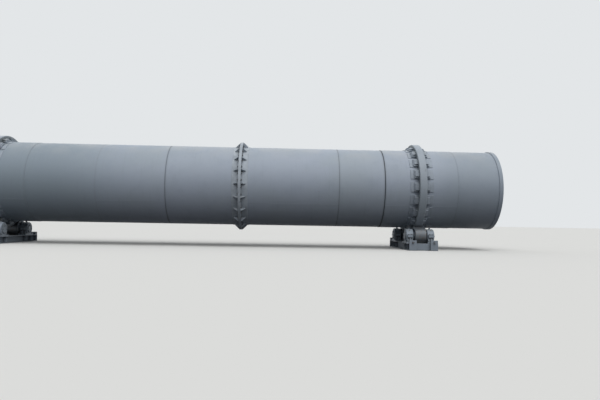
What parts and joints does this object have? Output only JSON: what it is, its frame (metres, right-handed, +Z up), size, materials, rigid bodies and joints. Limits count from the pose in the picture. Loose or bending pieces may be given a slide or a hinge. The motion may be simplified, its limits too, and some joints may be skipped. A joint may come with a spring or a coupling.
{
  "type": "rotary drum dryer",
  "caption": "Long welded steel dryer drum on riding rings, turning on support rollers, with lifters and spiral flights inside.",
  "frame": {"origin": "on the ground under the middle of the drum, midway between the two base frames", "axes": "+X along the drum from the feed end to the discharge end, +Y across it, +Z up"},
  "size_m": [16, 2.676, 2.985],
  "materials": {
    "drum_paint": "satin",
    "ring_steel": "satin",
    "inner_plate": "matte",
    "roller_steel": "satin",
    "station_paint": "satin",
    "screw_steel": "satin"
  },
  "bodies": {
    "stations": {"discharge_adjusting_screws": "screw_steel", "discharge_base_frame": "station_paint", "discharge_front_bearing_caps": "station_paint", "discharge_front_housings": "station_paint", "discharge_rear_bearing_caps": "station_paint", "discharge_rear_housings": "station_paint", "feed_adjusting_screws": "screw_steel", "feed_base_frame": "station_paint", "feed_front_bearing_caps": "station_paint", "feed_front_housings": "station_paint", "feed_rear_bearing_caps": "station_paint", "feed_rear_housings": "station_paint"},
    "drum": {"discharge_end_course": "drum_paint", "discharge_end_ring": "drum_paint", "discharge_joint_course": "drum_paint", "discharge_joint_flange": "drum_paint", "discharge_shell_course": "drum_paint", "discharge_tyre": "ring_steel", "discharge_tyre_chairs": "drum_paint", "discharge_tyre_course": "drum_paint", "feed_dam_ring": "inner_plate", "feed_end_course": "drum_paint", "feed_end_ring": "drum_paint", "feed_joint_course": "drum_paint", "feed_joint_flange": "drum_paint", "feed_shell_course": "drum_paint", "feed_spiral_flights": "inner_plate", "feed_tyre": "ring_steel", "feed_tyre_chairs": "drum_paint", "feed_tyre_course": "drum_paint", "lifter_section_1": "inner_plate", "lifter_section_2": "inner_plate", "lifter_section_3": "inner_plate", "lifter_section_4": "inner_plate", "lifter_section_5": "inner_plate", "middle_shell_course": "drum_paint"},
    "discharge_front_roller": {"discharge_front_roller": "roller_steel"},
    "discharge_rear_roller": {"discharge_rear_roller": "roller_steel"},
    "feed_front_roller": {"feed_front_roller": "roller_steel"},
    "feed_rear_roller": {"feed_rear_roller": "roller_steel"}
  },
  "joints": [
    {"name": "drum_turn", "type": "hinge", "parent": "stations", "child": "drum", "pos_m": [0, 0, 1.70528], "axis": [1, 0, 0], "continuous": true},
    {"name": "discharge_front_roller_turn", "type": "hinge", "parent": "stations", "child": "discharge_front_roller", "pos_m": [5.78, -0.76515, 0.38], "axis": [1, 0, 0], "continuous": true},
    {"name": "discharge_rear_roller_turn", "type": "hinge", "parent": "stations", "child": "discharge_rear_roller", "pos_m": [5.78, 0.76515, 0.38], "axis": [1, 0, 0], "continuous": true},
    {"name": "feed_front_roller_turn", "type": "hinge", "parent": "stations", "child": "feed_front_roller", "pos_m": [-5.78, -0.76515, 0.38], "axis": [1, 0, 0], "continuous": true},
    {"name": "feed_rear_roller_turn", "type": "hinge", "parent": "stations", "child": "feed_rear_roller", "pos_m": [-5.78, 0.76515, 0.38], "axis": [1, 0, 0], "continuous": true}
  ],
  "couplings": [
    {"joint": "discharge_front_roller_turn", "follows": "drum_turn", "ratio": -5.12},
    {"joint": "discharge_rear_roller_turn", "follows": "drum_turn", "ratio": -5.12},
    {"joint": "feed_front_roller_turn", "follows": "drum_turn", "ratio": -5.12},
    {"joint": "feed_rear_roller_turn", "follows": "drum_turn", "ratio": -5.12}
  ]
}
